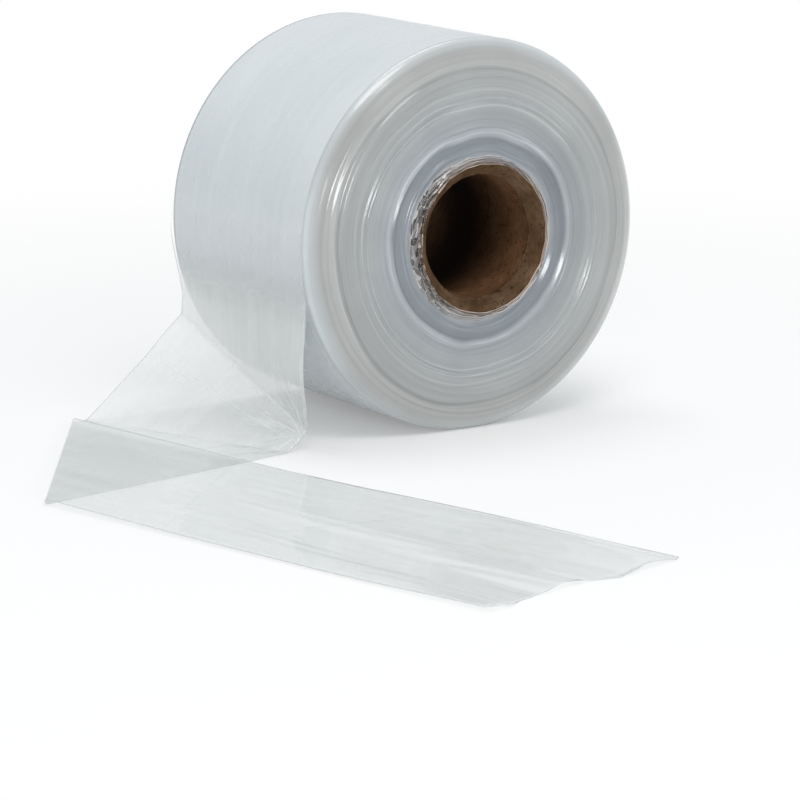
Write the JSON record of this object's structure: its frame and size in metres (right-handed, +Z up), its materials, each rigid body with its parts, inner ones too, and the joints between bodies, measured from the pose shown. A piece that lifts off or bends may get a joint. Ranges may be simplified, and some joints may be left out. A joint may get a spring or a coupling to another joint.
{
  "type": "roll of poly tubing",
  "caption": "Roll of clear lay-flat film tubing wound on a cardboard core, lying on its side, with its free end pulled off, folded over at a corner and laid out on the floor.",
  "frame": {"origin": "on the roll's axis, in the core's bore, about half way along the web", "axes": "+Z up, +Y along the roll's axis to the hidden end, so the open end face looks to -Y; the free end peels off on the -X side"},
  "size_m": [0.435, 0.5086, 0.2415],
  "materials": {
    "core": "matt kraft board, spiral wound",
    "tubing": "clear glossy polyethylene film"
  },
  "bodies": {
    "root": {"core": "core", "tubing": "tubing"}
  },
  "joints": []
}
